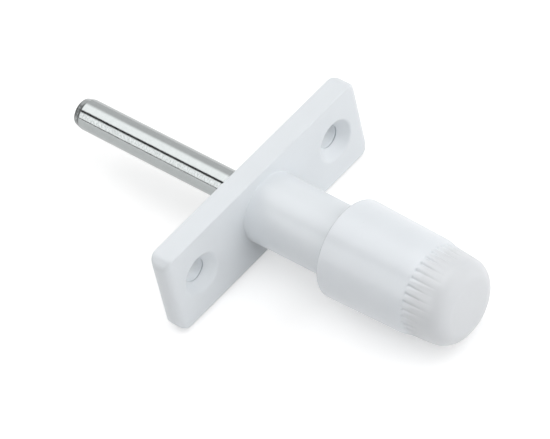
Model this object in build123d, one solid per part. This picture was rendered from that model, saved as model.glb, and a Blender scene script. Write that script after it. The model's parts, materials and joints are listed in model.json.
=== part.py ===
from build123d import *

import os
from math import asin, degrees, radians, tan

# A sprung window latch. A steel pin slides through a cast plate with a barrel, which two
# screws hold on the sash. A spring in the barrel keeps the pin out, so that it bolts the
# sash. Pulling the hollow knob, which telescopes over the barrel, draws the pin back.
#
# Millimetres. The origin is the middle of the plate's back, on the pin's axis. +Y runs
# along the pin to its tip, X along the plate, +Z up. So the window lies at +Y and the
# hand at -Y, and each part is made in its place with the pin fully out.

# Pin, turned from round bar
PIN_DIAMETER = 6.35
PIN_REACH = 42.2  # from the plate's back to the tip
PIN_POINT = 1.6  # length of the chamfer at the tip
PIN_POINT_ANGLE = 14.0  # of that chamfer, from the axis
PIN_POINT_ROUND = 0.3
TAIL_DIAMETER = 5.0  # the threaded end that the knob screws on
TAIL_LENGTH = 5.4
TAIL_CHAMFER = 0.5

# Return spring
SPRING_WIRE = 0.8
SPRING_TURNS = 14
SPRING_PLAY = 0.5  # between the pin and the coils
SPRING_ROOM = 0.35  # between the coils and their bore

# Collar, which the spring pushes and which guides the pin at its middle
COLLAR_LENGTH = 4.0
COLLAR_CHAMFER = 0.3

# Retaining ring, in a groove of the pin behind the collar
RING_SETBACK = 1.0  # from the plate's back to the ring
RING_THICKNESS = 0.8
RING_WIDTH = 1.2  # across the section, in and out of the groove
RING_GROOVE = 0.45  # the groove's depth
RING_OPENING = 50.0  # degrees left out of the ring

# Barrel
PULL = 14.0  # how far the knob pulls the pin back
STOP_STEP = 0.6  # the step that the collar meets at full pull
BARREL_WALL = 1.7  # round the wide end of the bore, at the plate
BARREL_SHOWING = 19.6  # between the plate and the knob's rim
BARREL_DRAFT = 0.3  # degrees
BARREL_FILLET = 0.3
NOSE_WALL = 3.0
NOSE_EDGE = 0.5
MOUTH_CHAMFER = 0.4

# Plate
PLATE_THICKNESS = 4.7
PLATE_BORDER = 2.1  # from the barrel to the plate's long edges
PLATE_CORNER = 2.4  # seen from the front
PLATE_EDGE = 0.35  # rounding of the long edges
END_EDGE_FRONT = 1.5  # rounding of the short edges
END_EDGE_BACK = 1.9
SCREW_SPACING = 38.8
SCREW_END = 7.9  # from a screw's centre to the plate's end
SCREW_HOLE = 4.8
SINK_DIAMETER = 8.7
SINK_ANGLE = 90.0

# Knob, moulded
SKIRT_GUIDE = 6.4  # length of skirt left on the barrel at full pull
SKIRT_WALL = 2.33  # at the rim
SKIRT_TAPER = 1.3  # degrees, outside
SKIRT_GAP_RIM = 0.5  # between barrel and skirt, at the rim
SKIRT_GAP_END = 0.4  # between barrel and skirt, at the barrel's nose
RIM_EDGE = 0.35
SHOULDER_DROP = 0.42  # from the skirt down to the ribbed band
SHOULDER_LENGTH = 1.8
SHOULDER_ROUND = 6.0
BAND_LENGTH = 4.1
BAND_TAPER = 4.6  # degrees
DOME_LENGTH = 4.5  # from the ribbed band to the end
DOME_RADIUS = 3.9
CROWN_RISE = 0.35  # of the nearly flat end
GROOVE_COUNT = 36
GROOVE_DEPTH = 0.36
GROOVE_WIDTH = 0.72
GROOVE_ROUND = 0.12
STEM_WALL = 1.5
END_WALL = 1.5  # between the insert and the knob's end
POCKET_DEPTH = 3.9
STEM_RIBS = 4
STEM_RIB_WIDTH = 1.2

# Threaded insert in the knob
INSERT_WALL = 1.25
INSERT_LENGTH = 6.0
INSERT_CHAMFER = 0.4

# Clearances, all on the radius
PIN_FIT = 0.05  # the pin in the barrel's nose and in the collar
COLLAR_FIT = 0.08  # the collar in the bore
SEAT_FIT = 0.02  # pieces that stay put on each other

# Length that a cutting shape runs past the surface it opens
OVERRUN = 1.0

# Largest share of the room beside it that a fillet takes
FILLET_SHARE = 0.9

# Radii, from the pin outwards
pin_r = PIN_DIAMETER / 2
tail_r = TAIL_DIAMETER / 2
groove_floor_r = pin_r - RING_GROOVE
ring_inner_r = groove_floor_r + SEAT_FIT
pin_bore_r = pin_r + PIN_FIT
coil_r = pin_r + SPRING_PLAY + SPRING_WIRE / 2
spring_bore_r = coil_r + SPRING_WIRE / 2 + SPRING_ROOM
collar_bore_r = spring_bore_r + STOP_STEP
collar_r = collar_bore_r - COLLAR_FIT
barrel_r = collar_bore_r + BARREL_WALL
insert_bore_r = tail_r + SEAT_FIT
insert_r = insert_bore_r + INSERT_WALL
stem_bore_r = insert_r + SEAT_FIT
stem_r = stem_bore_r + STEM_WALL

# Plate
plate_length = SCREW_SPACING + 2 * SCREW_END
plate_width = 2 * (barrel_r + PLATE_BORDER)

# Stations along Y, from the plate to the knob's end
plate_front_y = -PLATE_THICKNESS
ring_back_y = -RING_SETBACK
ring_front_y = ring_back_y - RING_THICKNESS
collar_front_y = ring_front_y - COLLAR_LENGTH
stop_y = collar_front_y - PULL
rim_y = plate_front_y - BARREL_SHOWING
nose_y = rim_y - PULL - SKIRT_GUIDE
spring_seat_y = nose_y + NOSE_WALL
insert_end_y = nose_y - INSERT_LENGTH
knob_end_y = insert_end_y - END_WALL
band_end_y = knob_end_y + DOME_LENGTH
band_start_y = band_end_y + BAND_LENGTH
skirt_end_y = band_start_y + SHOULDER_LENGTH


def turned(*outline):
    """Solid of revolution about the Y axis, from (radius, y) corners."""
    return revolve(make_face(Polyline(*outline, close=True)), axis=Axis.Y)


def round_the_axis(shape, count):
    """Copies of a shape, evenly spaced about the Y axis."""
    return [Rot(0, 360 * turn / count, 0) * shape for turn in range(count)]


def barrel_radius(y):
    """Outer radius of the tapered barrel at a station."""
    return barrel_r - (plate_front_y - y) * tan(radians(BARREL_DRAFT))


def make_plate():
    """What three rounded outlines share, one seen from the front, one from above and one from
    an end, so that the short edges can be rounder than the long ones."""
    middle_y = plate_front_y / 2
    front_view = Plane.XZ * RectangleRounded(plate_length, plate_width, PLATE_CORNER)
    top_view = Pos(0, middle_y, 0) * Rectangle(plate_length, PLATE_THICKNESS)
    corners = top_view.vertices().sort_by(Axis.Y)
    top_view = fillet(corners[:2], END_EDGE_FRONT)
    corners = top_view.vertices().sort_by(Axis.Y)
    top_view = fillet(corners[-2:], END_EDGE_BACK)
    end_view = Plane.YZ * Pos(middle_y, 0) * RectangleRounded(PLATE_THICKNESS, plate_width, PLATE_EDGE)
    from_front = extrude(front_view, PLATE_THICKNESS)
    from_top = extrude(top_view, plate_width / 2, both=True)
    from_end = extrude(end_view, plate_length / 2, both=True)
    return from_front & from_top & from_end


def make_mount_plate():
    """Plate and barrel in one casting, bored for the spring, with two countersunk holes."""
    plate = make_plate()

    root_y = plate_front_y / 2
    barrel = turned(
        (0, root_y),
        (barrel_radius(root_y), root_y),
        (barrel_radius(nose_y), nose_y),
        (0, nose_y),
    )
    barrel = fillet(barrel.edges().sort_by(Axis.Y)[0], NOSE_EDGE)

    casting = plate + barrel
    root_edge = casting.edges().filter_by(GeomType.CIRCLE).sort_by_distance((0, plate_front_y, 0))[0]
    casting = fillet(root_edge, min(BARREL_FILLET, FILLET_SHARE * (PLATE_BORDER - PLATE_EDGE)))

    bore = turned(
        (0, OVERRUN),
        (collar_bore_r + MOUTH_CHAMFER, OVERRUN),
        (collar_bore_r + MOUTH_CHAMFER, 0),
        (collar_bore_r, -MOUTH_CHAMFER),
        (collar_bore_r, stop_y),
        (spring_bore_r, stop_y),
        (spring_bore_r, spring_seat_y),
        (pin_bore_r, spring_seat_y),
        (pin_bore_r, nose_y - OVERRUN),
        (0, nose_y - OVERRUN),
    )
    hole_r = SCREW_HOLE / 2
    sink_r = SINK_DIAMETER / 2
    sink_depth = (sink_r - hole_r) / tan(radians(SINK_ANGLE / 2))
    screw_hole = turned(
        (0, OVERRUN),
        (hole_r, OVERRUN),
        (hole_r, plate_front_y + sink_depth),
        (sink_r, plate_front_y),
        (sink_r, plate_front_y - OVERRUN),
        (0, plate_front_y - OVERRUN),
    )
    screw_holes = [Pos(x, 0, 0) * screw_hole for x in (-SCREW_SPACING / 2, SCREW_SPACING / 2)]
    return casting - [bore, *screw_holes]


def make_pin():
    """Round pin with a blunt tip, a groove for the ring and a reduced threaded tail."""
    point_r = pin_r - PIN_POINT * tan(radians(PIN_POINT_ANGLE))
    tail_end_y = nose_y - TAIL_LENGTH
    body = turned(
        (0, PIN_REACH),
        (point_r, PIN_REACH),
        (pin_r, PIN_REACH - PIN_POINT),
        (pin_r, ring_back_y),
        (groove_floor_r, ring_back_y),
        (groove_floor_r, ring_front_y),
        (pin_r, ring_front_y),
        (pin_r, nose_y),
        (tail_r, nose_y),
        (tail_r, tail_end_y + TAIL_CHAMFER),
        (tail_r - TAIL_CHAMFER, tail_end_y),
        (0, tail_end_y),
    )
    point_edges = body.edges().filter_by(GeomType.CIRCLE).sort_by(Axis.Y)[-2:]
    return fillet(point_edges, PIN_POINT_ROUND)


def make_return_spring():
    """Compression spring with ground ends, between the collar and the barrel's nose."""
    length = collar_front_y - spring_seat_y
    coil = Helix(
        pitch=length / SPRING_TURNS,
        height=length,
        radius=coil_r,
        center=(0, collar_front_y, 0),
        direction=(0, -1, 0),
    )
    section = Plane(origin=coil @ 0, z_dir=coil % 0) * Circle(SPRING_WIRE / 2)
    wire = sweep(section, path=coil, is_frenet=True)
    between_seats = turned(
        (0, collar_front_y),
        (spring_bore_r, collar_front_y),
        (spring_bore_r, spring_seat_y),
        (0, spring_seat_y),
    )
    return wire & between_seats


def make_guide_collar():
    """Plain bush that runs in the barrel's bore and on the pin."""
    collar = turned(
        (pin_bore_r, ring_front_y),
        (collar_r, ring_front_y),
        (collar_r, collar_front_y),
        (pin_bore_r, collar_front_y),
    )
    outer_edges = collar.edges().filter_by(GeomType.CIRCLE).sort_by(SortBy.RADIUS)[-2:]
    return chamfer(outer_edges, COLLAR_CHAMFER)


def make_retaining_ring():
    """Flat open ring that snaps into the pin's groove, with its opening at the top."""
    ring = turned(
        (ring_inner_r, ring_back_y),
        (ring_inner_r + RING_WIDTH, ring_back_y),
        (ring_inner_r + RING_WIDTH, ring_front_y),
        (ring_inner_r, ring_front_y),
    )
    reach = 2 * (ring_inner_r + RING_WIDTH)
    half_width = reach * tan(radians(RING_OPENING / 2))
    wedge = make_face(Polyline((0, 0), (half_width, reach), (-half_width, reach), close=True))
    opening = extrude(Plane.XZ * wedge, RING_SETBACK + RING_THICKNESS + OVERRUN)
    return ring - opening


def make_knob_body():
    """Outside of the knob: tapered skirt, shoulder, ribbed band's blank and domed end."""
    rim_r = barrel_radius(rim_y) + SKIRT_GAP_RIM + SKIRT_WALL
    skirt_end_r = rim_r - (rim_y - skirt_end_y) * tan(radians(SKIRT_TAPER))
    band_r = skirt_end_r - SHOULDER_DROP
    crown_y = knob_end_y + CROWN_RISE
    crown_r = band_r - (band_start_y - crown_y) * tan(radians(BAND_TAPER))
    side = Polyline(
        (0, rim_y),
        (rim_r, rim_y),
        (skirt_end_r, skirt_end_y),
        (band_r, band_start_y),
        (crown_r, crown_y),
    )
    sphere_r = (crown_r**2 + CROWN_RISE**2) / (2 * CROWN_RISE)
    crown = CenterArc((0, knob_end_y + sphere_r), sphere_r, -90, degrees(asin(crown_r / sphere_r)))
    profile = make_face([side, crown, Line((0, knob_end_y), (0, rim_y))])

    corners = profile.vertices()
    end_corner = corners.sort_by_distance((crown_r, crown_y))[0]
    profile = fillet(end_corner, min(DOME_RADIUS, FILLET_SHARE * (DOME_LENGTH - CROWN_RISE)))
    corners = profile.vertices()
    shoulder_corners = [
        corners.sort_by_distance(place)[0]
        for place in ((skirt_end_r, skirt_end_y), (band_r, band_start_y))
    ]
    profile = fillet(shoulder_corners, SHOULDER_ROUND)
    rim_corner = profile.vertices().sort_by_distance((rim_r, rim_y))[0]
    profile = fillet(rim_corner, RIM_EDGE)
    return revolve(profile, axis=Axis.Y), band_r


def make_grip_groove(band_r):
    """Cutter for one groove of the band. Its floor runs level, so the tapered band and the
    dome run out of it, as a mould that opens along the axis leaves it."""
    floor_r = band_r - GROOVE_DEPTH
    top_r = band_r + SHOULDER_DROP
    half_width = GROOVE_WIDTH / 2 * (top_r - floor_r) / GROOVE_DEPTH
    section = make_face(Polyline((0, floor_r), (half_width, top_r), (-half_width, top_r), close=True))
    section = fillet(section.vertices().sort_by(Axis.Y)[0], GROOVE_ROUND)
    return extrude(Plane.XZ.offset(-band_start_y) * section, band_start_y - knob_end_y)


def make_knob():
    """Hollow knob, open towards the plate, with a ribbed stem that holds the insert."""
    rim_bore_r = barrel_radius(rim_y) + SKIRT_GAP_RIM
    end_bore_r = barrel_radius(nose_y) + SKIRT_GAP_END
    cavity = turned(
        (0, rim_y + OVERRUN),
        (rim_bore_r, rim_y + OVERRUN),
        (rim_bore_r, rim_y),
        (end_bore_r, nose_y),
        (0, nose_y),
    )
    pocket_y = nose_y - POCKET_DEPTH
    pocket = turned(
        (stem_r, nose_y),
        (end_bore_r, nose_y),
        (end_bore_r, pocket_y),
        (stem_r, pocket_y),
    )
    rib = Pos(end_bore_r / 2, (nose_y + pocket_y) / 2, 0) * Box(end_bore_r, POCKET_DEPTH, STEM_RIB_WIDTH)
    insert_hole = turned(
        (0, nose_y),
        (stem_bore_r, nose_y),
        (stem_bore_r, insert_end_y),
        (0, insert_end_y),
    )
    hollow = cavity + insert_hole + (pocket - round_the_axis(rib, STEM_RIBS))

    body, band_r = make_knob_body()
    return body - hollow - round_the_axis(make_grip_groove(band_r), GROOVE_COUNT)


def make_knob_insert():
    """Brass sleeve with the thread that the pin's tail screws into."""
    sleeve = turned(
        (insert_bore_r, nose_y),
        (insert_r, nose_y),
        (insert_r, insert_end_y),
        (insert_bore_r, insert_end_y),
    )
    outer_edges = sleeve.edges().filter_by(GeomType.CIRCLE).sort_by(SortBy.RADIUS)[-2:]
    return chamfer(outer_edges.sort_by(Axis.Y)[0], INSERT_CHAMFER)


parts = {
    "mount_plate": make_mount_plate(),
    "pin": make_pin(),
    "return_spring": make_return_spring(),
    "guide_collar": make_guide_collar(),
    "retaining_ring": make_retaining_ring(),
    "knob": make_knob(),
    "knob_insert": make_knob_insert(),
}

os.makedirs("parts", exist_ok=True)
for name, solid in parts.items():
    export_step(solid, f"parts/{name}.step")
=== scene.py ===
import json
from math import atan2, pi, radians, tan

import bmesh
import bpy
import numpy as np
from bpy.props import FloatProperty, FloatVectorProperty, IntProperty, PointerProperty
from bpy.types import Operator, Panel, PropertyGroup
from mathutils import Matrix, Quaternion, Vector


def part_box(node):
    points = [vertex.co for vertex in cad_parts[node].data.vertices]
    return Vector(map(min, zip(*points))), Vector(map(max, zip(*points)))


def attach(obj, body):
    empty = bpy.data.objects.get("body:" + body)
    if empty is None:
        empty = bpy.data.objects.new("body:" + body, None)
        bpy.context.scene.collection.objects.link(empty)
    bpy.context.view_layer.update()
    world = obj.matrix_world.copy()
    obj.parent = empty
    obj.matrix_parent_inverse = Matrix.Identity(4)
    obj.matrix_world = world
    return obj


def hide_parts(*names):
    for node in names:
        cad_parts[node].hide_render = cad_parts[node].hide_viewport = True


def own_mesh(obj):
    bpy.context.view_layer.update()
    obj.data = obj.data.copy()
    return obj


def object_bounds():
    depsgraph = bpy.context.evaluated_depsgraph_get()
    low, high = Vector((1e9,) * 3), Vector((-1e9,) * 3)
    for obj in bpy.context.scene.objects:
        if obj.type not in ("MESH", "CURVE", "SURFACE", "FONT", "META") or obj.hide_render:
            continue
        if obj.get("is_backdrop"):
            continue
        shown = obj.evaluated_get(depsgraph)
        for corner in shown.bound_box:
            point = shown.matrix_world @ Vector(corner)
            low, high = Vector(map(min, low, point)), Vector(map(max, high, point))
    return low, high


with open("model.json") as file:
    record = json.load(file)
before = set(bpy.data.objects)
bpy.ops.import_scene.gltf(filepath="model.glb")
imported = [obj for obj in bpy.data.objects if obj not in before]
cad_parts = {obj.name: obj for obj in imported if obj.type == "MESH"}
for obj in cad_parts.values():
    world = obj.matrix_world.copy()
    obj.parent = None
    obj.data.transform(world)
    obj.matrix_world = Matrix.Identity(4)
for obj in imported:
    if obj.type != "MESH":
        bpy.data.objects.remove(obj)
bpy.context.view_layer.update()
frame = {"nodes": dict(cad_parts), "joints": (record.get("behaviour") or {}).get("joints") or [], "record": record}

# A sprung window latch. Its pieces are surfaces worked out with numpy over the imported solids,
# in metres and in the solids' frame: the origin is the middle of the plate's back, +Y runs
# along the pin to its tip, X along the plate and +Z up.

bl_info = {
    "name": "Window Latch",
    "version": (1, 0, 0),
    "blender": (4, 5, 0),
    "location": "View3D > Sidebar > Latch",
    "description": "Makes a sprung window latch and a plain studio round it",
    "category": "Add Mesh",
}

NODE_BOX = {node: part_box(node) for node in frame["nodes"]}
PLATE_LOW, PLATE_HIGH = NODE_BOX["mount_plate"]
KNOB_LOW, KNOB_HIGH = NODE_BOX["knob"]
PIN_LOW, PIN_HIGH = NODE_BOX["pin"]
SPRING_LOW, SPRING_HIGH = NODE_BOX["return_spring"]
COLLAR_LOW, COLLAR_HIGH = NODE_BOX["guide_collar"]
RING_LOW, RING_HIGH = NODE_BOX["retaining_ring"]
INSERT_LOW, INSERT_HIGH = NODE_BOX["knob_insert"]

MM = 0.001
MICRON = 0.000001
WELD = MICRON  # Points nearer than this are made one
ARC_STEPS = 6  # Steps of an arc that rounds a corner
ARC_MARGIN = 0.25  # From an arc to the point beside it, as a share of the arc's reach
MOUTH_FLAT = 0.4 * MM  # Flat round a mouth that belongs to the bore's section
BODY_OF = {
    node: body for body, nodes in frame["record"]["behaviour"]["bodies"].items() for node in nodes
}


def number(name, default, description, **settings):
    """A plain number."""
    return FloatProperty(name=name, description=description, default=default, **settings)


def length(name, default, description):
    """A size in metres, given here in millimetres."""
    return number(name, default * MM, description, min=0.0, unit="LENGTH", precision=5)


def angle(name, default, description):
    """An angle, given here in degrees."""
    return number(name, radians(default), description, unit="ROTATION")


def colour(name, default, description):
    """A linear colour."""
    return FloatVectorProperty(
        name=name, description=description, default=default, min=0.0, max=1.0, subtype="COLOR"
    )


# Sizes and colours that a user would change


class CastingSettings(PropertyGroup):
    thickness: length("Plate thickness", 4.7, "From the plate's back to its front")
    corner: length("Corner", 2.4, "Rounding of the plate's corners")
    edge: length("Long edge", 0.35, "Rounding of the long edges")
    end_front: length("Short front edge", 1.5, "Rounding of the short edges in front")
    end_back: length("Short back edge", 1.9, "Rounding of the short edges behind")
    barrel: length("Barrel diameter", 14.25, "Outside of the barrel, at the plate")
    draft: angle("Draft", 0.3, "Taper of the barrel, for its mould")
    fillet: length("Fillet", 0.15, "Between the barrel and the plate")
    nose_edge: length("Nose edge", 0.5, "Rounding of the barrel's end")
    nose_wall: length("Nose wall", 3.0, "Behind the spring, at the barrel's end")
    pin_bore: length("Pin bore", 6.45, "Hole for the pin in the barrel's end")
    spring_bore: length("Spring bore", 9.65, "Bore round the spring")
    collar_bore: length("Collar bore", 10.85, "Bore in which the collar runs")
    stop: length("Stop", 19.83, "From the plate's back to the collar's step")
    mouth: length("Mouth", 0.4, "Chamfer round the bore's open end")
    hole_spacing: length("Hole spacing", 38.8, "Between the screw holes")
    hole: length("Hole diameter", 4.8, "Straight part of a screw hole")
    sink: length("Sink diameter", 8.7, "Wide end of a countersunk hole")
    sink_angle: angle("Sink angle", 90.0, "Angle between the sides of a sink")
    sink_edge: length("Sink edge", 0.8, "Paint's rounding over a sink's rim")
    step: length("Step", 0.3, "Depth of the step under a sink")
    paint: colour("Paint", (0.78, 0.815, 0.845), "Colour of the casting")


class KnobSettings(PropertyGroup):
    rim_edge: length("Rim edge", 0.35, "Rounding outside the open end")
    taper: angle("Taper", 1.3, "Of the skirt")
    shoulder_drop: length("Shoulder drop", 0.42, "From the skirt down to the band")
    shoulder: length("Shoulder", 1.8, "Length of the shoulder")
    shoulder_round: length("Shoulder rounding", 6.0, "Of the shoulder's corners")
    band: length("Band", 4.1, "Length of the ribbed band")
    band_taper: angle("Band taper", 4.6, "Of the ribbed band")
    dome: length("Dome", 4.5, "From the band to the knob's end")
    dome_round: length("Dome rounding", 3.735, "Between the band and the nearly flat end")
    crown: length("Crown", 0.35, "Rise of the nearly flat end")
    grooves: IntProperty(name="Grooves", description="Round the band", default=36, min=3, max=60)
    groove_depth: length("Groove depth", 0.36, "At the shoulder")
    groove_width: length("Groove width", 0.72, "At the shoulder")
    groove_floor: length("Groove floor", 0.10, "Rounding of a groove's floor")
    ridge_round: length("Ridge rounding", 0.12, "Softness of the grooves' edges")
    rim_bore: length("Bore at the rim", 15.045, "Of the skirt, at its open end")
    end_bore: length("Bore at the end", 14.631, "Of the skirt, over the barrel's end")
    pocket: length("Pocket", 3.9, "Depth of the pocket round the stem")
    stem: length("Stem", 10.62, "Diameter of the insert's holder")
    ribs: IntProperty(name="Ribs", description="Ribs from stem to skirt", default=4, min=2, max=8)
    rib_width: length("Rib width", 1.2, "Width of a rib")
    shell: colour("Shell", (0.78, 0.815, 0.85), "Colour of the knob")


class PinSettings(PropertyGroup):
    diameter: length("Diameter", 6.35, "Of the pin's round bar")
    point: length("Point", 1.6, "Length of the chamfer at the tip")
    point_angle: angle("Point angle", 14.0, "Of that chamfer, from the axis")
    point_round: length("Point rounding", 0.3, "Of the chamfer's edges")
    groove: length("Groove", 0.45, "Depth of the ring's groove")
    tail: length("Tail", 5.0, "Diameter of the threaded end")
    tail_chamfer: length("Tail chamfer", 0.5, "Of the threaded end")
    pitch: length("Thread pitch", 0.8, "Of the tail's and the insert's thread")
    steel: colour("Steel", (0.385, 0.405, 0.405), "Colour of the plated steel")
    # Near-black tone that the pin's point turns to
    dark_tone: colour("Bare steel", (0.06, 0.063, 0.065), "Colour where the plating is worn")


class InnerSettings(PropertyGroup):
    wire: length("Wire", 0.8, "Thickness of the spring's wire")
    turns: IntProperty(name="Turns", description="Of the spring", default=14, min=4, max=40)
    opening: angle("Opening", 50.0, "Angle left out of the ring")
    chamfer: length("Chamfer", 0.35, "Of the collar's and the insert's edges")
    spring_steel: colour("Spring steel", (0.36, 0.355, 0.345), "Colour of the drawn wire")
    brass: colour("Brass", (0.71, 0.50, 0.22), "Colour of the collar and the insert")


class StageSettings(PropertyGroup):
    floor: colour("Floor", (0.80, 0.80, 0.80), "Colour of the floor")
    lift: number("Lift", 0.42, "White that the floor adds", min=0.0)
    ambient: number("Ambient", 0.245, "Light from all round", min=0.0)
    light: number("Light", 1.0, "Brightness of the soft lamps", min=0.0)
    top_gleam: number("Top gleam", 1.14, "Brightness of the panels overhead", min=0.0)
    side_gleam: number("Side gleam", 1.18, "Brightness of the panel on the left", min=0.0)
    azimuth: angle("Azimuth", -39.59, "Of the camera, from the knob's end")
    elevation: angle("Elevation", 46.34, "Of the camera, above the floor")
    roll: angle("Roll", -14.05, "Of the camera about its line of sight")
    distance: length("Distance", 865.25, "From the camera to its aim")
    aim: FloatVectorProperty(
        name="Aim",
        description="Point in the middle of the picture",
        default=(-1.0 * MM, -6.49 * MM, -1.52 * MM),
        subtype="XYZ",
        unit="LENGTH",
        precision=5,
    )
    lens: number("Lens", 307.05, "Focal length in millimetres", min=1.0)


class LatchSettings(PropertyGroup):
    casting: PointerProperty(type=CastingSettings)
    knob: PointerProperty(type=KnobSettings)
    pin: PointerProperty(type=PinSettings)
    inner: PointerProperty(type=InnerSettings)
    stage: PointerProperty(type=StageSettings)


# Surfaces


def unit(vector):
    """The vector divided by its own length."""
    return vector / np.linalg.norm(vector)


def rounded(*corners):
    """Line through (radius, y, rounding) corners. Each gives way to an arc that touches both
    runs: its points are the weighted sum of its first and last radius, with the sines of the
    angles left and passed as weights. A point on each run beside the arc lets it shade flat."""
    points = [np.array(corners[0][:2])]
    passed = np.linspace(0, 1, ARC_STEPS + 1)[:, None]
    for before, here, after in zip(corners, corners[1:], corners[2:]):
        apex = np.array(here[:2])
        back, ahead = (unit(np.array(end[:2]) - apex) for end in (before, after))
        half = np.arccos(np.clip(back @ ahead, -1, 1)) / 2
        sweep = pi - 2 * half
        reach = here[2] / np.tan(half)
        centre = apex + unit(back + ahead) * here[2] / np.sin(half)
        first, last = (apex + way * reach - centre for way in (back, ahead))
        arc = np.sin((1 - passed) * sweep) * first + np.sin(passed * sweep) * last
        beside = reach * (1 + ARC_MARGIN)
        points.append(apex + back * beside)
        points.extend(centre + arc / np.sin(sweep))
        points.append(apex + ahead * beside)
    points.append(np.array(corners[-1][:2]))
    return np.array(points)


def travelled(line):
    """Way along a line to each of its points."""
    return np.cumsum(np.linalg.norm(np.diff(line, axis=0, prepend=line[:1]), axis=1))


def filled(line, step):
    """The same line, with further points at even steps along it, but none near an old one."""
    along = travelled(line)
    extra = np.arange(step, along[-1], step)
    apart = np.abs(extra[:, None] - along).min(axis=1)
    stations = np.sort(np.concatenate([along, extra[apart > step / 2]]))
    return np.stack([np.interp(stations, along, line[:, axis]) for axis in (0, 1)], axis=1)


def angles(count):
    """Even steps of a full turn, with its start again at the end."""
    return np.linspace(0, 2 * pi, count + 1)


def off_nearest(around, count):
    """Angle from the nearest of so many evenly spaced places round the axis."""
    pitch = 2 * pi / count
    return ((around / pitch + 0.5) % 1 - 0.5) * pitch


def turned(radius, y, around):
    """Surface about the Y axis, from radii, heights and angles that are grids or lines of one:
    x is radius times cosine and z is radius times sine."""
    radius, y, around = np.broadcast_arrays(radius, y, around)
    return np.stack([radius * np.cos(around), y, radius * np.sin(around)], axis=2)


def thread(around, y, pitch):
    """Share of a thread's full depth: half of one less the cosine of a phase, which is the
    height in pitches less the share of a turn."""
    phase = (y / pitch - around / (2 * pi)) % 1
    return 0.5 - 0.5 * np.cos(2 * pi * phase)


def grid_mesh(name, patches):
    """A mesh from grids of points (rows, columns, xyz), with a quad between each four."""
    points, quads, first = [], [], 0
    for patch in patches:
        rows, columns = patch.shape[:2]
        number = first + np.arange(rows * columns).reshape(rows, columns)
        around = (number[:-1, :-1], number[:-1, 1:], number[1:, 1:], number[1:, :-1])
        quads.append(np.stack(around, axis=2).reshape(-1, 4))
        points.append(patch.reshape(-1, 3))
        first += rows * columns
    mesh = bpy.data.meshes.new(name)
    mesh.from_pydata(np.concatenate(points).tolist(), [], np.concatenate(quads).tolist())
    return mesh


def add_object(name, data):
    made = bpy.data.objects.new(name, data)
    bpy.context.scene.collection.objects.link(made)
    return made


def make_piece(name, patches, node, material):
    """One closed piece from grids. Their shared seams and their poles are welded here."""
    mesh = grid_mesh(name, patches)
    shell = bmesh.new()
    shell.from_mesh(mesh)
    bmesh.ops.remove_doubles(shell, verts=shell.verts, dist=WELD)
    bmesh.ops.recalc_face_normals(shell, faces=shell.faces)
    open_edges = sum(not edge.is_manifold for edge in shell.edges)
    shell.to_mesh(mesh)
    shell.free()
    if open_edges:
        raise RuntimeError(f"{name} has {open_edges} open edges")
    mesh.shade_smooth()
    mesh.materials.append(material)
    piece = add_object(name, mesh)
    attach(piece, BODY_OF[node])
    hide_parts(node)
    return piece


# Plate and barrel


# Places of a flat's points, as shares of the way from the rim to the hole
FLAT_SHARES = (0, 0.04, 0.3, 0.6, 0.9, 0.98)


def run(centre, start, end, count):
    """Points on a straight run in the plate's plane, evenly spaced in the angle at which the
    centre sees them: the foot of the perpendicular plus its length times the angle's tangent.
    A row is a point and the outward normal. The end belongs to the next run."""
    centre, start, end = (np.array(point) for point in (centre, start, end))
    ahead = unit(end - start)
    foot = start + ahead * ((centre - start) @ ahead)
    height = np.linalg.norm(centre - foot)
    first, last = (np.arctan2((point - foot) @ ahead, height) for point in (start, end))
    seen = np.linspace(first, last, count, endpoint=False)[:, None]
    points = foot + height * np.tan(seen) * ahead
    normals = np.broadcast_to([ahead[1], -ahead[0]], points.shape)
    return np.hstack([points, normals])


def corner(centre, radius, start, count):
    """A quarter of a circle in the plate's plane, as rows like those of a run."""
    turned_by = start + np.linspace(0, pi / 2, count, endpoint=False)
    normals = np.stack([np.cos(turned_by), np.sin(turned_by)], axis=1)
    return np.hstack([np.array(centre) + radius * normals, normals])


def closed(loop):
    """The loop with its first point again at its end."""
    return np.concatenate([loop, loop[:1]])


def rim_rounds(outline, sizes):
    """Rounding of the plate's rim behind and in front, at each point of its outline: the long
    edges', blended into the short edges' with the square of the normal's X as weight."""
    ends = (sizes.end_back, sizes.end_front)
    return [sizes.edge + (end - sizes.edge) * outline[:, 2] ** 2 for end in ends]


def cell(back_loop, front_loop, centre, profile):
    """The plate's flat faces round one hole, and the hole itself. A column runs from the loop
    on the back, straight to the hole, through it along the (radius, y) profile, and straight
    out to the loop on the front: a point of a flat is the loop's and the circle's mean."""
    loops = [closed(loop) - centre for loop in (back_loop, front_loop)]
    asides = [loop / np.linalg.norm(loop, axis=1)[:, None] for loop in loops]
    inward = np.array(FLAT_SHARES)[:, None, None]
    back, front = (
        loop * (1 - inward) + aside * hole_r * inward
        for loop, aside, hole_r in zip(loops, asides, profile[[0, -1], 0])
    )
    through = np.linspace(0, 1, len(profile))[:, None, None]
    aside = asides[0] * (1 - through) + asides[1] * through
    aside = aside / np.linalg.norm(aside, axis=2)[..., None]
    flat = centre + np.concatenate([back, profile[:, :1, None] * aside, front[::-1]])
    level = np.ones((len(inward), 1))
    y = np.concatenate([level * profile[0, 1], profile[:, 1:], level * profile[-1, 1]])
    return np.stack([flat[..., 0], np.broadcast_to(y, flat.shape[:2]), flat[..., 1]], axis=2)


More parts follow.
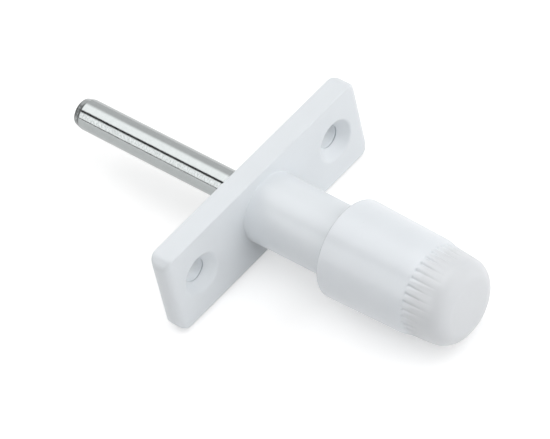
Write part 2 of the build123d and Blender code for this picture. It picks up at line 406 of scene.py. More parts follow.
def plate_rim(outline, back_round, front_round, front):
    """The plate's outside wall, with a column for each point of the outline. On a rim the
    column comes in along the normal by its rounding times one less the sine of an angle, and
    leaves the face by its rounding times one less the cosine. In between it is straight."""
    outline, back_round, front_round = closed(outline), closed(back_round), closed(front_round)
    bend = np.linspace(0, pi / 2, ARC_STEPS + 1)[:, None]
    aside, down = 1 - np.sin(bend), 1 - np.cos(bend)
    wall = np.linspace(0.05, 0.95, 5)[:, None]
    level = (front + front_round) * (1 - wall) - back_round * wall
    inset = np.concatenate([front_round * aside, 0 * level, back_round * aside[::-1]])
    y = np.concatenate([front + front_round * down, level, -back_round * down[::-1]])
    flat = outline[:, :2] - inset[..., None] * outline[:, 2:]
    return np.stack([flat[..., 0], y, flat[..., 1]], axis=2)


def screw_hole_section(sizes, front):
    """Line through a countersunk hole, from the plate's back to its front, with the shallow
    step under the sink."""
    hole_r, sink_r = sizes.hole / 2, sizes.sink / 2
    step_r = hole_r + sizes.step
    sink_end = front + (sink_r - hole_r) / tan(sizes.sink_angle / 2)
    step_front, step_back = sink_end + 0.07 * MM, sink_end + 0.29 * MM
    slope, edge = 0.01 * MM, 0.03 * MM
    section = rounded(
        (hole_r + MOUTH_FLAT, 0),
        (hole_r, 0, 0.12 * MM),
        (hole_r, step_back + slope, edge),
        (step_r, step_back - slope, edge),
        (step_r, step_front + slope, edge),
        (hole_r, step_front - slope, 0.02 * MM),
        (sink_r, front, sizes.sink_edge),
        (sink_r + 0.6 * MM, front),
    )
    return filled(section, 0.5 * MM)


def barrel_section(sizes, front):
    """Line from the plate's back through the stepped bore, round the barrel's end and along
    its outside to the plate's front."""
    nose = PLATE_LOW.y
    seat = nose + sizes.nose_wall
    root_r = sizes.barrel / 2
    nose_r = root_r - (front - nose) * tan(sizes.draft)
    collar_r, spring_r, pin_r = sizes.collar_bore / 2, sizes.spring_bore / 2, sizes.pin_bore / 2
    mouth_r = collar_r + sizes.mouth
    edge, wide_edge = 0.1 * MM, 0.2 * MM
    section = rounded(
        (mouth_r + MOUTH_FLAT, 0),
        (mouth_r, 0, 0.08 * MM),
        (collar_r, -sizes.mouth, edge),
        (collar_r, -sizes.stop, edge),
        (spring_r, -sizes.stop, edge),
        (spring_r, seat, wide_edge),
        (pin_r, seat, edge),
        (pin_r, nose, wide_edge),
        (nose_r, nose, sizes.nose_edge),
        (root_r, front, sizes.fillet),
        (root_r + sizes.fillet + 0.27 * MM, front),
    )
    return filled(section, 0.8 * MM)


def casting_surface(sizes):
    """Three cells side by side, the barrel's in the middle, and the wall round them. The
    cells meet halfway between the holes, where both see the same points at equal angles."""
    front = -sizes.thickness
    middle = sizes.hole_spacing / 4
    end, side = PLATE_HIGH.x, PLATE_HIGH.z
    turn_x, turn_z = end - sizes.corner, side - sizes.corner
    screw, axis = np.array([sizes.hole_spacing / 2, 0]), np.zeros(2)
    along, bend, across, seam = 28, 12, 30, 42

    right = [
        run(screw, (middle, -side), (turn_x, -side), along),
        corner((turn_x, -turn_z), sizes.corner, -pi / 2, bend),
        run(screw, (end, -turn_z), (end, turn_z), across),
        corner((turn_x, turn_z), sizes.corner, 0, bend),
        run(screw, (turn_x, side), (middle, side), along),
    ]
    right = np.vstack(right)
    top = run(axis, (middle, side), (-middle, side), 48)
    flat_side = side - sizes.edge
    left_seam = run(axis, (-middle, flat_side), (-middle, -flat_side), seam)[:, :2]
    right_seam = run(screw, (middle, flat_side), (middle, -flat_side), seam)[:, :2]

    insets = rim_rounds(right, sizes)
    loops = [right[:, :2] - inset[:, None] * right[:, 2:] for inset in insets]
    loops = [np.vstack([loop, right_seam]) for loop in loops]
    right_cell = cell(*loops, screw, screw_hole_section(sizes, front))
    left_cell = right_cell * np.array([-1.0, 1.0, -1.0])
    flat_top = top[:, :2] - sizes.edge * top[:, 2:]
    loop = np.vstack([flat_top, left_seam, -flat_top, -left_seam])
    middle_cell = cell(loop, loop, axis, barrel_section(sizes, front))
    outline = np.vstack([right, top, -right, -top])
    rim = plate_rim(outline, *rim_rounds(outline, sizes), front)
    return [right_cell, left_cell, middle_cell, rim]


# Knob


DOME_POINTS = 30
CROWN_POINTS = 13
POINTS_PER_GROOVE = 12
GROOVES_FADE = (6 * MM, 7 * MM)  # Radii on the dome between which the grooves run out
RIB_SHARE = 0.97  # How far the ribs rise from the pocket's floor to the nose
INSERT_ROOM = 0.02 * MM  # Round the insert, and between it and the pin's tail


def knob_outside(sizes):
    """Half section of the knob's outside, from the middle of its end to its rim. The nearly
    flat end is part of a sphere, the band's side is straight, and the arc between them touches
    both: its centre is one rounding inside each of them."""
    rim, low = KNOB_HIGH.y, KNOB_LOW.y
    band_end = low + sizes.dome
    band_start = band_end + sizes.band
    skirt_end = band_start + sizes.shoulder
    rim_r = KNOB_HIGH.z
    skirt_r = rim_r - (rim - skirt_end) * tan(sizes.taper)
    band_r = skirt_r - sizes.shoulder_drop
    crown_y = low + sizes.crown
    crown_r = band_r - (band_start - crown_y) * tan(sizes.band_taper)

    sphere_r = (crown_r**2 + sizes.crown**2) / (2 * sizes.crown)
    sphere = np.array([0.0, low + sphere_r])
    side = unit(np.array([band_r - crown_r, band_start - crown_y]))
    inward = np.array([-side[1], side[0]])
    start = np.array([crown_r, crown_y]) + inward * sizes.dome_round - sphere
    along = start @ side
    root = np.sqrt(along**2 - start @ start + (sphere_r - sizes.dome_round) ** 2)
    centre = sphere + start + side * min(root - along, -root - along, key=abs)

    down = unit(centre - sphere)
    first, last = atan2(down[1], down[0]), atan2(-inward[1], -inward[0])
    bend = np.linspace(first, last, DOME_POINTS)[:, None]
    dome = centre + sizes.dome_round * np.hstack([np.cos(bend), np.sin(bend)])
    crown_x = np.linspace(0, dome[0, 0], CROWN_POINTS, endpoint=False)
    crown = np.stack([crown_x, sphere[1] - np.sqrt(sphere_r**2 - crown_x**2)], axis=1)
    rest = rounded(
        tuple(dome[-1]),
        (band_r, band_start, sizes.shoulder_round),
        (skirt_r, skirt_end, sizes.shoulder_round),
        (rim_r, rim, sizes.rim_edge),
        (sizes.rim_bore / 2 + MOUTH_FLAT, rim),
    )
    return np.vstack([crown, dome, rest[1:]]), band_r, band_start


def closer_at_grooves(section, band_start):
    """The knob's section with further points, closer together where the grooves run, from the
    dome's side to just past the shoulder."""
    coarse, fine = filled(section, 0.8 * MM), filled(section, 0.15 * MM)
    radius, y = fine.T
    low, high = KNOB_LOW.y + 1.2 * MM, band_start + 1.6 * MM
    first, last = np.flatnonzero((y > low) & (y < high) & (radius > GROOVES_FADE[0]))[[0, -1]]
    way, fine_way = travelled(coarse), travelled(fine)
    before = coarse[way < fine_way[first] - 0.05 * MM]
    after = coarse[way > fine_way[last] + 0.05 * MM]
    return np.vstack([before, fine[first : last + 1], after])


def grooved(sizes, radius, y, around, band_r, band_start):
    """Radius of the knob with its grooves: the lower of the plain section's and a groove's,
    blended over a small width, as half the sum of both less the root of their squared
    difference plus the squared width. A groove's is its floor's plus a slope times the
    distance aside, rounded at the floor, plus a steep ramp at the shoulder."""
    aside = off_nearest(around, sizes.grooves) * radius
    slope = sizes.groove_depth / (sizes.groove_width / 2)
    wall = slope * (np.sqrt(aside**2 + sizes.groove_floor**2) - sizes.groove_floor)
    ramp = 4 * np.maximum(0, y - band_start + 0.1 * MM)
    groove = band_r - sizes.groove_depth + wall + ramp
    banded = (radius + groove - np.sqrt((radius - groove) ** 2 + sizes.ridge_round**2)) / 2
    inner, outer = GROOVES_FADE
    kept = np.clip((radius - inner) / (outer - inner), 0, 1) * (y < band_start + 3 * MM)
    return radius + kept * (np.minimum(banded, radius) - radius)


def knob_surface(sizes):
    """The knob's section turned about the axis, outside and inside in one. Where a rib is, the
    floor of the pocket round the stem rises nearly to the nose."""
    section, band_r, band_start = knob_outside(sizes)
    outside = closer_at_grooves(section, band_start)
    around = angles(sizes.grooves * POINTS_PER_GROOVE)
    plain, y = np.hsplit(outside, 2)
    outer = turned(grooved(sizes, plain, y, around, band_r, band_start), y, around)

    nose, pocket_end = PLATE_LOW.y, PLATE_LOW.y - sizes.pocket
    rim_r, end_r, stem_r = sizes.rim_bore / 2, sizes.end_bore / 2, sizes.stem / 2
    insert_r = INSERT_HIGH.x + INSERT_ROOM
    inside = rounded(
        (rim_r + MOUTH_FLAT, KNOB_HIGH.y),
        (rim_r, KNOB_HIGH.y, 0.15 * MM),
        (end_r, nose, MICRON),
        (end_r, pocket_end, 0.25 * MM),
        (stem_r, pocket_end, 0.25 * MM),
        (stem_r, nose, 0.12 * MM),
        (insert_r, nose, 0.1 * MM),
        (insert_r, INSERT_LOW.y, 0.2 * MM),
        (0, INSERT_LOW.y),
    )
    radius, depth = np.hsplit(filled(inside, 0.9 * MM), 2)
    off_rib = np.abs(off_nearest(around, sizes.ribs)) * (stem_r + end_r) / 2
    rib = np.clip((sizes.rib_width / 2 - off_rib) / (0.1 * MM) + 0.5, 0, 1)
    in_pocket = (depth < nose) & (radius > stem_r - MICRON)
    lifted = np.where(in_pocket, depth + RIB_SHARE * rib * (nose - depth), depth)
    return [outer, turned(radius, lifted, around)]


# Pin and inner pieces


ROUND_STEPS = 96  # Steps round the pin, the collar and the insert
THREAD_RUN = 0.3 * MM  # Way over which a thread runs out
COLLAR_ROOM = 0.05 * MM  # Between the collar and the pin
RING_WIDTH = 1.2 * MM  # Of the retaining ring, from inside to outside


def pin_surface(sizes):
    """The pin's section turned about the axis, with a thread cut into the tail: there the
    radius is less by the thread's share of six tenths of its pitch."""
    pin_r, tail_r = sizes.diameter / 2, sizes.tail / 2
    floor_r = pin_r - sizes.groove
    point_r = pin_r - sizes.point * tan(sizes.point_angle)
    nose = PLATE_LOW.y
    edge = 0.05 * MM
    section = rounded(
        (0, PIN_HIGH.y),
        (point_r, PIN_HIGH.y, sizes.point_round),
        (pin_r, PIN_HIGH.y - sizes.point, sizes.point_round),
        (pin_r, RING_HIGH.y, edge),
        (floor_r, RING_HIGH.y, edge),
        (floor_r, RING_LOW.y, edge),
        (pin_r, RING_LOW.y, edge),
        (pin_r, nose, 0.1 * MM),
        (tail_r, nose, edge),
        (tail_r, PIN_LOW.y + sizes.tail_chamfer, edge),
        (tail_r - sizes.tail_chamfer, PIN_LOW.y, edge),
        (0, PIN_LOW.y),
    )
    split = np.flatnonzero(section[:, 1] < nose + MICRON)[0]
    section = np.vstack([filled(section[:split], 1.0 * MM), filled(section[split:], 0.08 * MM)])
    around = angles(ROUND_STEPS)
    radius, y = np.hsplit(section, 2)
    run_in = np.clip((nose - 0.4 * MM - y) / THREAD_RUN, 0, 1)
    run_out = np.clip((y - PIN_LOW.y - sizes.tail_chamfer) / THREAD_RUN, 0, 1)
    cut = 0.6 * sizes.pitch * run_in * run_out * thread(around, y, sizes.pitch)
    return [turned(radius - cut, y, around)]


def spring_surface(sizes):
    """A round wire carried along a coil whose pitch is one wire at both ends and even between
    them. A point is the coil's radius plus the wire's times a cosine, outwards, and its height
    plus the wire's radius times a sine. Both ends are ground flat and drawn to a point."""
    top, seat = SPRING_HIGH.y, SPRING_LOW.y
    wire_r = sizes.wire / 2
    coil_r = SPRING_HIGH.x - wire_r
    turn = np.linspace(0, sizes.turns, sizes.turns * 30 + 1)
    opened = np.clip(np.minimum(turn, sizes.turns - turn) - 0.5, 0, 1)
    rise = np.concatenate([[0], np.cumsum((opened[1:] + opened[:-1]) / 2)])
    ends = sizes.wire * turn
    active = (top - seat) - ends[-1]
    y = (top - ends - active * rise / rise[-1])[:, None]
    wire = angles(14)
    thick = np.full((len(turn), 1), wire_r)
    thick[[0, -1]] = 0
    radius = coil_r + thick * np.cos(wire)
    high = np.clip(y + thick * np.sin(wire), seat, top)
    return [turned(radius, high, (2 * pi * turn)[:, None])]


def ring_surface(sizes):
    """A flat open ring: a rounded rectangle carried round the axis, from one side of its
    opening at the top to the other, and drawn to a point at both ends to close them."""
    outer_r = abs(RING_LOW.z)
    inner_r = outer_r - RING_WIDTH
    middle = (outer_r + inner_r) / 2
    edge = 0.08 * MM
    section = rounded(
        (middle, RING_HIGH.y),
        (outer_r, RING_HIGH.y, edge),
        (outer_r, RING_LOW.y, edge),
        (inner_r, RING_LOW.y, edge),
        (inner_r, RING_HIGH.y, edge),
        (middle, RING_HIGH.y),
    )
    core = np.array([middle, (RING_HIGH.y + RING_LOW.y) / 2])
    half = sizes.opening / 2
    around = np.linspace(pi / 2 + half, pi / 2 - half + 2 * pi, 80)
    around = np.concatenate([around[:1], around, around[-1:]])
    full = np.ones(len(around))
    full[[0, -1]] = 0
    kept = core + full[:, None, None] * (section - core)
    return [turned(kept[..., 0], kept[..., 1], around[:, None])]


def collar_surface(sizes, bore_r):
    """The collar's section turned about the axis: a closed line round its wall."""
    outer_r, top, low = COLLAR_HIGH.x, COLLAR_HIGH.y, COLLAR_LOW.y
    middle = (outer_r + bore_r) / 2
    edge, bore_edge = 0.04 * MM, 0.08 * MM
    section = rounded(
        (middle, top),
        (outer_r - sizes.chamfer, top, edge),
        (outer_r, top - sizes.chamfer, edge),
        (outer_r, low + sizes.chamfer, edge),
        (outer_r - sizes.chamfer, low, edge),
        (bore_r, low, bore_edge),
        (bore_r, top, bore_edge),
        (middle, top),
    )
    section = filled(section, 0.4 * MM)
    return [turned(*np.hsplit(section, 2), angles(ROUND_STEPS))]


def insert_surface(sizes, pin):
    """The insert's section turned about the axis, with the thread cut into its bore: there
    the radius is more by the thread's share of half its pitch."""
    outer_r, top, low = INSERT_HIGH.x, INSERT_HIGH.y, INSERT_LOW.y
    bore_r = pin.tail / 2 + INSERT_ROOM
    middle = (outer_r + bore_r) / 2
    edge = 0.05 * MM
    section = rounded(
        (middle, top),
        (outer_r, top, 0.1 * MM),
        (outer_r, low + sizes.chamfer, edge),
        (outer_r - sizes.chamfer, low, edge),
        (bore_r, low, edge),
        (bore_r, top, edge),
        (middle, top),
    )
    section = filled(section, 0.1 * MM)
    around = angles(ROUND_STEPS)
    radius, y = np.hsplit(section, 2)
    inside = (radius < bore_r + MICRON) & (y < top - THREAD_RUN) & (y > low + THREAD_RUN)
    cut = 0.5 * pin.pitch * inside * thread(around, y, pin.pitch)
    return [turned(radius + cut, y, around)]


# Shaders


# Sockets of a Mix node that mixes colours, which share their names with other sockets
MIX_FACTOR, MIX_FIRST, MIX_SECOND, MIX_RESULT = 0, 6, 7, 2

# Darkening of the pin's point, as (place, share) stops from its start to its tip
POINT_DARK = ((0.0, 0.0), (0.13, 0.9), (0.2, 0.9), (0.36, 0.2), (0.62, 0.2), (0.85, 1.0))


class Signal:
    """A socket that takes part in sums as a number does. Each sum adds its Math node."""

    def __init__(self, graph, socket):
        self.graph, self.socket = graph, socket

    def __add__(self, other):
        return self.graph.math("ADD", self, other)

    def __sub__(self, other):
        return self.graph.math("SUBTRACT", self, other)

    def __rsub__(self, other):
        return self.graph.math("SUBTRACT", other, self)

    def __mul__(self, other):
        return self.graph.math("MULTIPLY", self, other)

    def __truediv__(self, other):
        return self.graph.math("DIVIDE", self, other)

    def __pow__(self, other):
        return self.graph.math("POWER", self, other)

    __radd__ = __add__
    __rmul__ = __mul__


class Graph:
    """The nodes of one material or world."""

    def __init__(self, owner):
        owner.use_nodes = True
        self.owner, self.tree = owner, owner.node_tree
        self.tree.nodes.clear()

    def node(self, kind, sockets=None, out=0, **settings):
        """Adds a node, first its settings and then its sockets' values or links, and gives the
        signal of one output."""
        made = self.tree.nodes.new(kind)
        for name, value in settings.items():
            if name == "stops":
                self.set_stops(made.color_ramp.elements, value)
            else:
                setattr(made, name, value)
        for name, value in (sockets or {}).items():
            if isinstance(value, Signal):
                self.tree.links.new(value.socket, made.inputs[name])
            else:
                made.inputs[name].default_value = value
        return Signal(self, made.outputs[out]) if made.outputs else made

    @staticmethod
    def set_stops(elements, stops):
        """Gives a ramp its (position, grey) stops."""
        while len(elements) < len(stops):
            elements.new(0.5)
        for element, (position, grey) in zip(elements, stops):
            element.position = position
            element.color = (grey, grey, grey, 1)

    def math(self, operation, *values):
        return self.node("ShaderNodeMath", dict(enumerate(values)), operation=operation)

    def noise(self, place, size, detail=2.0, roughness=0.5):
        """Smooth noise between 0 and 1, whose patches are about the size given."""
        sockets = {"Vector": place, "Scale": 1 / size, "Detail": detail, "Roughness": roughness}
        return self.node("ShaderNodeTexNoise", sockets)

    def ramp(self, value, *stops):
        return self.node("ShaderNodeValToRGB", {"Fac": value}, stops=stops)

    def place(self, stretch=(1, 1, 1)):
        """Object coordinates, stretched."""
        base = self.node("ShaderNodeTexCoord", out="Object")
        return self.node("ShaderNodeMapping", {"Vector": base, "Scale": stretch})

    def part(self, place, axis):
        return self.node("ShaderNodeSeparateXYZ", {"Vector": place}, out=axis)

    def mix(self, factor, first, second):
        """Colours from first, at factor 0, to second, at factor 1."""
        sockets = {MIX_FACTOR: factor, MIX_FIRST: first, MIX_SECOND: second}
        return self.node("ShaderNodeMix", sockets, MIX_RESULT, data_type="RGBA")

    def bump(self, height, depth, under=None):
        sockets = {"Height": height, "Distance": depth, "Strength": 1.0}
        if under:
            sockets["Normal"] = under
        return self.node("ShaderNodeBump", sockets)

    def close(self, **sockets):
        """Ends a material in one shader, whose socket names are given with underscores."""
        sockets = {name.replace("_", " "): value for name, value in sockets.items()}
        shader = self.node("ShaderNodeBsdfPrincipled", sockets)
        self.node("ShaderNodeOutputMaterial", {"Surface": shader})
        return self.owner


def tint(base, factor=1.0):
    """A colour times a factor, with full alpha."""
    return (*(min(1.0, part * factor) for part in base), 1.0)


def white_finish(name, sizes, base, shade_and_tint, gloss, coat, peel, wave):
    """Satin white with soft clouds in its colour, a fine peel over a wave of the surface, and
    a few dusty specks under the film. The function after the base colour adds painted shade, and on the knob a
    duller tint, to the colour.
    The coat is its weight and its roughness."""
    graph = Graph(bpy.data.materials.new(name))
    place = graph.place()
    clouds = graph.noise(place, 7 * MM, 3)
    grain = graph.noise(place, 0.5 * MM, 2, 0.6)
    swell = graph.noise(place, 3.2 * MM, 2)
    pebbles = graph.noise(place, 0.9 * MM, 3, 0.55)
    dots = {"Vector": place, "Scale": 1 / (2.6 * MM)}
    off_dot = graph.node("ShaderNodeTexVoronoi", dots, "Distance", feature="F1")
    rare = graph.ramp(graph.noise(place, 3.1 * MM, 0), (0.62, 0.0), (0.70, 1.0))
    speck = graph.ramp(off_dot, (0.03, 1.0), (0.075, 0.0)) * rare
    body = graph.mix(clouds, tint(base, 0.975), tint(base, 1.025))
    body = graph.mix(speck * 0.25, body, tint(base, 0.72))
    # Painted shade in the casting's corner and on the knob's rim, and the knob's duller end
    body = shade_and_tint(graph, sizes, place, clouds, body)
    wavy = graph.bump(swell, wave)
    peeled = graph.bump(pebbles + grain * 0.35, peel, wavy)
    dusty = graph.bump(speck, 6 * MICRON, peeled)
    rough = gloss + 0.08 * (clouds - 0.5) + 0.06 * (grain - 0.5)
    film = dict(Coat_Weight=coat[0], Coat_Roughness=coat[1], IOR=1.48)
    return graph.close(Base_Color=body, Roughness=rough, Normal=dusty, **film)


def shaded_root(graph, sizes, place, clouds, body):
    """Painted shade on the casting: the corner between the barrel and the plate is darkened, most on the lower
    side. It fades with the distance from the corner, which is the greater of the distance out along the plate and
    of that along the barrel."""
    x, y, z = (graph.part(place, axis) for axis in "XYZ")
    off_plate = -sizes.thickness - y
    off_barrel = (x * x + z * z) ** 0.5 - sizes.barrel / 2
    apart = graph.math("MAXIMUM", off_plate, off_barrel) / (3.5 * MM)
    near = graph.ramp(apart, (0.0, 1.0), (0.12, 0.62), (0.45, 0.2), (1.0, 0.0))
    in_front = graph.ramp(off_plate / MM + 0.5, (0.2, 0.0), (0.45, 1.0))
    below = graph.ramp(z / (14 * MM) + 0.5, (0.1, 1.0), (0.75, 0.15), (0.95, 0.0))
    # Painted shade: the corner under the barrel is darkened
    root_shade = near * below * in_front * (0.7 + clouds * 0.5)
    return graph.mix(root_shade, body, tint(sizes.paint, 0.72))


def dull_end_rim_shade(graph, sizes, place, clouds, body):
    """Colour of the knob: past its shoulder the white is duller and less blue, and a thin dark line on the edge of
    its rim is painted shade, where the rim meets the barrel."""
    y = graph.part(place, "Y")
    shoulder = KNOB_LOW.y + sizes.dome + sizes.band
    # The white is duller and less blue past the shoulder
    past_shoulder = graph.ramp((shoulder - y) / (3 * MM) + clouds * 0.3, (0.1, 0.0), (0.9, 1.0))
    dull = [part * factor for part, factor in zip(sizes.shell, (0.91, 0.895, 0.885))]
    body = graph.mix(past_shoulder, body, (*dull, 1))
    # Painted shade: a thin dark line on the rim's edge, where it meets the barrel
    rim_shade = graph.ramp((y - KNOB_HIGH.y) / (0.4 * MM) + 1, (0.35, 0.0), (0.65, 1.0))
    return graph.mix(rim_shade * (0.6 + clouds * 0.4), body, tint(sizes.shell, 0.5))


def plated_finish(name, sizes):
    """Bright plated steel, turned and then slid: fine rings round the axis, short cross marks
    on the side that rubs most, lengthwise scratches and a cloudy plating. On the point the colour turns a
    near-black tone, darkest along both edges, and less on the flat end."""
    graph = Graph(bpy.data.materials.new(name))
    place = graph.place()
    rings = graph.noise(graph.place((0.04, 1, 0.04)), 0.09 * MM, 3, 0.6)
    marks = graph.noise(graph.place((0.45, 1, 0.45)), 0.22 * MM, 3, 0.75)
    spots = graph.noise(place, 0.45 * MM, 3, 0.65)
    clouds = graph.noise(place, 1.6 * MM, 3, 0.6)
    slid = graph.noise(graph.place((1, 0.03, 1)), 0.07 * MM, 2, 0.6)
    scratches = graph.ramp(slid, (0.62, 0.0), (0.74, 1.0))
    x, y, z = (graph.part(place, axis) for axis in "XYZ")
    turned_to = graph.math("ARCTAN2", z, 0 - x) / pi
    rubbed = graph.ramp(turned_to, (0.16, 0.0), (0.19, 1.0), (0.32, 1.0), (0.34, 0.0))
    cross = graph.ramp(marks, (0.42, 0.0), (0.62, 1.0)) * (0.12 + rubbed * 0.88)
    along = (y - PIN_HIGH.y) / sizes.point + 1 + (spots - 0.5) * 0.16
    edges = graph.ramp(along, *POINT_DARK)
    mottled = graph.ramp(along, (0.2, 0.0), (0.3, 0.7))
    mottles = graph.ramp(spots, (0.44, 0.0), (0.56, 1.0)) * mottled
    underside = graph.ramp(turned_to, (0.42, 1.0), (0.50, 0.2), (0.85, 0.2), (1.0, 1.0))
    side_dark = graph.math("MAXIMUM", edges, mottles) * underside
    outwards = (x * x + z * z) ** 0.5 / (sizes.diameter / 2) + (spots - 0.5) * 0.1
    on_end = graph.ramp(outwards, (0.74, 1.0), (0.84, 0.0))
    end_dark = 0.18 + graph.ramp(spots, (0.42, 0.0), (0.66, 0.45)) * along
    # Darkening of the point, on its side and on its flat end
    darkened = side_dark * (1 - on_end) + end_dark * on_end * graph.ramp(along, (0.5, 0.0), (0.8, 1.0))
    body = graph.mix(clouds, tint(sizes.steel, 0.94), tint(sizes.steel, 1.06))
    body = graph.mix((spots - 0.35) * 0.3, body, tint(sizes.steel, 0.8))
    body = graph.mix(cross * 0.62, body, tint(sizes.steel, 0.55))
    body = graph.mix(scratches * 0.2, body, tint(sizes.steel, 1.3))
    body = graph.mix(darkened, body, tint(sizes.dark_tone))
    rough = 0.13 + (clouds - 0.5) * 0.06 + (spots - 0.5) * 0.08 + darkened * 0.12
    turned_marks = graph.bump(rings, 0.7 * MICRON, graph.bump(clouds, 8 * MICRON))
    crossed = graph.bump(marks, 1.6 * MICRON, turned_marks)
    scratched = graph.bump(1 - scratches, 0.5 * MICRON, crossed)
    return graph.close(Base_Color=body, Roughness=rough, Metallic=1.0, Normal=scratched)


def turned_finish(name, base, dull, roughness):
    """Turned bar or drawn wire: fine rings, a cloudy tarnish and a rougher skin where it is."""
    graph = Graph(bpy.data.materials.new(name))
    rings = graph.noise(graph.place((0.05, 1, 0.05)), 0.12 * MM, 3, 0.6)
    tarnish = graph.noise(graph.place(), 1.1 * MM, 4, 0.6)
    grain = graph.noise(graph.place(), 0.12 * MM, 2)
    tarnished = graph.ramp(tarnish, (0.40, 0.0), (0.68, 1.0))
    body = graph.mix(tarnished, tint(base), tint(dull))
    rough = roughness + (tarnish - 0.5) * 0.2 + (rings - 0.5) * 0.1
    ringed = graph.bump(rings + grain * 0.5, 1.5 * MICRON)
    return graph.close(Base_Color=body, Roughness=rough, Metallic=1.0, Normal=ringed)


# Studio


# Name, share of the light, place and width of each soft lamp. All of them face the latch.
SOFT_LAMPS = (
    ("over_lamp", 1.01, (0.02, -0.10, 0.50), 0.60),
    ("right_lamp", 1.41, (0.40, -0.35, 0.42), 0.45),
    ("low_right_lamp", 1.51, (0.45, -0.48, 0.10), 0.35),
    ("front_lamp", 1.34, (0.10, -0.62, 0.28), 0.45),
    ("low_left_lamp", 1.47, (-0.62, -0.20, 0.14), 0.35),
    ("back_lamp", 2.39, (0.05, 0.55, 0.40), 0.45),
)

# Name, share of the top gleam, place along X and width of each panel overhead, which only a
# gloss shows. The narrow ones let the wide one fade out on its right.
TOP_PANELS = (
    ("top_panel", 1.0, -0.035, 0.45),
    *((f"edge_panel_{i}", 0.8 - 0.2 * i, 0.21 + 0.04 * i, 0.04) for i in range(4)),
)
PANEL_Y, PANEL_DEPTH = 0.20, 0.80

# Name, grey, first corner and two sides of each card
FLAGS = (
    ("gap_flag", 0.02, (-0.262, -0.3, 0.317), (0, 1.1, 0), (0.095, 0, 0.058)),
    ("low_flag", 0.22, (-0.44, -0.3, 0.008), (0, 1.1, 0), (0, 0, 0.055)),
)

FLOOR_REACH = 2.0  # From the middle of the floor to its sides
LIFT_START, LIFT_END = 0.45, 0.9  # Distances between which the floor rises to white


def square(name, start, across, up, seen):
    """A flat stage panel from its first corner and two sides: corner plus shares of both."""
    start, across, up = (np.array(part, float) for part in (start, across, up))
    shares = np.linspace(0, 1, 3)
    points = start + shares[:, None, None] * up + shares[None, :, None] * across
    panel = add_object(name, grid_mesh(name, [points]))
    panel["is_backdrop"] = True
    panel.visible_camera = seen
    return panel


def seen_directly(graph):
    """1 for the rays of the camera, of a gloss and of glass, and 0 for the light itself."""
    camera, gloss, glass = (
        graph.node("ShaderNodeLightPath", out=f"Is {kind} Ray")
        for kind in ("Camera", "Glossy", "Transmission")
    )
    return graph.math("MAXIMUM", graph.math("MAXIMUM", camera, gloss), glass)


def make_world(sizes):
    world = bpy.data.worlds.new("studio_air")
    bpy.context.scene.world = world
    graph = Graph(world)
    seen = seen_directly(graph)
    strength = sizes.ambient + seen * (1 - sizes.ambient)
    sky = graph.node("ShaderNodeBackground", {"Color": (1, 1, 1, 1), "Strength": strength})
    graph.node("ShaderNodeOutputWorld", {"Surface": sky})


def make_floor(sizes):
    """A pale floor under the lowest point, lifted to white where nothing shades it, and more
    so in the distance, where the lamps hardly reach."""
    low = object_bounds()[0].z - 0.02 * MM
    start = (-FLOOR_REACH, -FLOOR_REACH, low)
    floor = square("floor", start, (2 * FLOOR_REACH, 0, 0), (0, 2 * FLOOR_REACH, 0), seen=True)
    graph = Graph(bpy.data.materials.new("floor_paper"))
    place = graph.place()
    grain = graph.noise(place, 2 * MM, 3)
    body = graph.mix(grain, tint(sizes.floor, 0.99), tint(sizes.floor, 1.01))
    x, y = (graph.part(place, axis) for axis in "XY")
    far = graph.ramp((x * x + y * y) ** 0.5, (LIFT_START, 0.0), (LIFT_END, 1.0))
    lifted = seen_directly(graph) * (sizes.lift + far * (1 - sizes.lift))
    parts = dict.fromkeys(("Red", "Green", "Blue"), lifted)
    white = graph.node("ShaderNodeCombineColor", parts)
    glow = dict(Emission_Color=white, Emission_Strength=1.0)
    floor.data.materials.append(graph.close(Base_Color=body, Roughness=0.9, **glow))


def make_lamp(name, brightness, centre, facing, size, for_gloss):
    """A flat soft lamp. Its power is its brightness times its area times pi. It either lights
    the surfaces or shows in their gloss."""
    lamp = bpy.data.lights.new(name, "AREA")
    lamp.shape = "RECTANGLE"
    lamp.size, lamp.size_y = size
    lamp.energy = brightness * lamp.size * lamp.size_y * pi
    held = add_object(name, lamp)
    held.location = centre
    held.rotation_mode = "QUATERNION"
    held.rotation_quaternion = Vector(facing).to_track_quat("-Z", "Y")
    held.visible_camera = False
    held.visible_diffuse = not for_gloss
    held.visible_glossy = for_gloss


def make_flag(name, grey, start, across, up):
    """A card beside the panels, which leaves a darker line in the pin's gloss."""
    flag = square(name, start, across, up, seen=False)
    graph = Graph(bpy.data.materials.new(name))
    card = graph.close(Base_Color=(grey, grey, grey, 1), Roughness=1.0)
    flag.data.materials.append(card)
    flag.visible_diffuse = flag.visible_shadow = False


def make_camera(sizes):
    """Looks at its aim from the azimuth and elevation, rolled about its line of sight."""
    out, up = np.cos(sizes.elevation), np.sin(sizes.elevation)
    back = Vector((np.sin(sizes.azimuth) * out, -np.cos(sizes.azimuth) * out, up))
    lens = bpy.data.cameras.new("photo_camera")
    lens.lens = sizes.lens
    lens.sensor_width = 36
    lens.clip_start, lens.clip_end = 0.01, 10
    camera = add_object("photo_camera", lens)
    camera.location = Vector(sizes.aim) + back * sizes.distance
    camera.rotation_mode = "QUATERNION"
    level = (-back).to_track_quat("-Z", "Y")
    camera.rotation_quaternion = level @ Quaternion((0, 0, 1), sizes.roll)
    bpy.context.scene.camera = camera


# Operators


class LATCH_OT_casting(Operator):
    """Makes the plate and barrel, one painted casting with two countersunk holes"""

    bl_idname = "latch.casting"
    bl_label = "Plate and Barrel"

    def execute(self, context):
        sizes = context.scene.latch.casting
        film = dict(gloss=0.38, coat=(0.2, 0.24), peel=5 * MICRON, wave=18 * MICRON)
        paint = white_finish("satin_paint", sizes, sizes.paint, shaded_root, **film)
        make_piece("cast_plate", casting_surface(sizes), "mount_plate", paint)
        return {"FINISHED"}


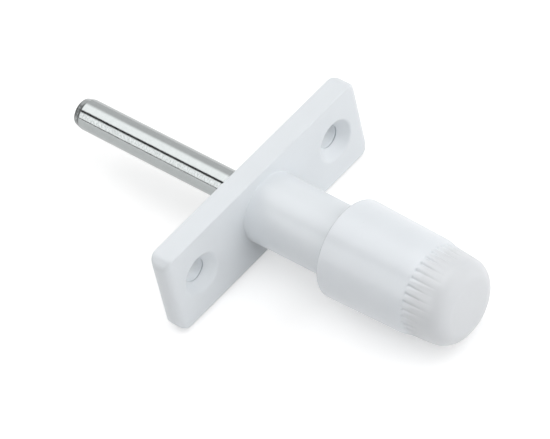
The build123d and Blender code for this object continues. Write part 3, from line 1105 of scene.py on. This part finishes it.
class LATCH_OT_knob(Operator):
    """Makes the hollow knob with its ribbed band"""

    bl_idname = "latch.knob"
    bl_label = "Knob"

    def execute(self, context):
        sizes = context.scene.latch.knob
        skin = dict(gloss=0.34, coat=(0.3, 0.2), peel=3.5 * MICRON, wave=26 * MICRON)
        shell = white_finish("satin_shell", sizes, sizes.shell, dull_end_rim_shade, **skin)
        make_piece("grip_knob", knob_surface(sizes), "knob", shell)
        return {"FINISHED"}


class LATCH_OT_pin(Operator):
    """Makes the round pin, with its groove and its threaded tail"""

    bl_idname = "latch.pin"
    bl_label = "Pin"

    def execute(self, context):
        sizes = context.scene.latch.pin
        steel = plated_finish("plated_steel", sizes)
        make_piece("bolt_pin", pin_surface(sizes), "pin", steel)
        return {"FINISHED"}


class LATCH_OT_inner(Operator):
    """Makes the pieces inside: spring, collar, retaining ring and threaded insert"""

    bl_idname = "latch.inner"
    bl_label = "Inner Pieces"

    def execute(self, context):
        latch = context.scene.latch
        sizes = latch.inner
        wire = turned_finish("spring_wire", sizes.spring_steel, (0.22, 0.21, 0.20), 0.32)
        brass = turned_finish("turned_brass", sizes.brass, (0.48, 0.33, 0.14), 0.30)
        coil = spring_surface(sizes)
        spring = make_piece("coil_spring", coil, "return_spring", wire)
        travel = next(j["range_m"][1] for j in frame["joints"] if j["name"] == "pull")
        rest = SPRING_HIGH.y - SPRING_LOW.y
        (rest - travel) / rest
        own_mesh(spring)
        make_piece("snap_ring", ring_surface(sizes), "retaining_ring", wire)
        bush = collar_surface(sizes, latch.pin.diameter / 2 + COLLAR_ROOM)
        make_piece("guide_bush", bush, "guide_collar", brass)
        make_piece("knob_sleeve", insert_surface(sizes, latch.pin), "knob_insert", brass)
        return {"FINISHED"}


class LATCH_OT_stage(Operator):
    """Makes the floor, the lamps and the camera"""

    bl_idname = "latch.stage"
    bl_label = "Studio"

    def execute(self, context):
        sizes = context.scene.latch.stage
        make_world(sizes)
        make_floor(sizes)
        for name, part, centre, width in SOFT_LAMPS:
            make_lamp(name, sizes.light * part, centre, -Vector(centre), (width, width), False)
        for name, part, x, width in TOP_PANELS:
            gleam, centre = sizes.top_gleam * part, (x, PANEL_Y, 0.45)
            make_lamp(name, gleam, centre, (0, 0, -1), (width, PANEL_DEPTH), True)
        centre = (-0.45, PANEL_Y, 0.36)
        make_lamp("side_panel", sizes.side_gleam, centre, (1, 0, 0), (0.62, PANEL_DEPTH), True)
        for flag in FLAGS:
            make_flag(*flag)
        make_camera(sizes)
        context.scene.view_settings.view_transform = "Standard"
        return {"FINISHED"}


STEPS = (LATCH_OT_casting, LATCH_OT_knob, LATCH_OT_pin, LATCH_OT_inner, LATCH_OT_stage)


class LATCH_PT_panel(Panel):
    """The latch's steps and sizes"""

    bl_idname = "LATCH_PT_panel"
    bl_label = "Window Latch"
    bl_space_type = "VIEW_3D"
    bl_region_type = "UI"
    bl_category = "Latch"

    def draw(self, context):
        latch = context.scene.latch
        for step in STEPS:
            self.layout.operator(step.bl_idname)
        for group in (latch.casting, latch.knob, latch.pin, latch.inner, latch.stage):
            box = self.layout.box()
            for name in group.__annotations__:
                box.prop(group, name)


GROUPS = (CastingSettings, KnobSettings, PinSettings, InnerSettings, StageSettings)
CLASSES = (*GROUPS, LatchSettings, *STEPS, LATCH_PT_panel)


def register():
    for kind in CLASSES:
        bpy.utils.register_class(kind)
    bpy.types.Scene.latch = PointerProperty(type=LatchSettings)


def unregister():
    del bpy.types.Scene.latch
    for kind in reversed(CLASSES):
        bpy.utils.unregister_class(kind)


def main():
    register()
    bpy.ops.latch.casting()
    bpy.ops.latch.knob()
    bpy.ops.latch.pin()
    bpy.ops.latch.inner()
    bpy.ops.latch.stage()


if __name__ == "__main__":
    main()
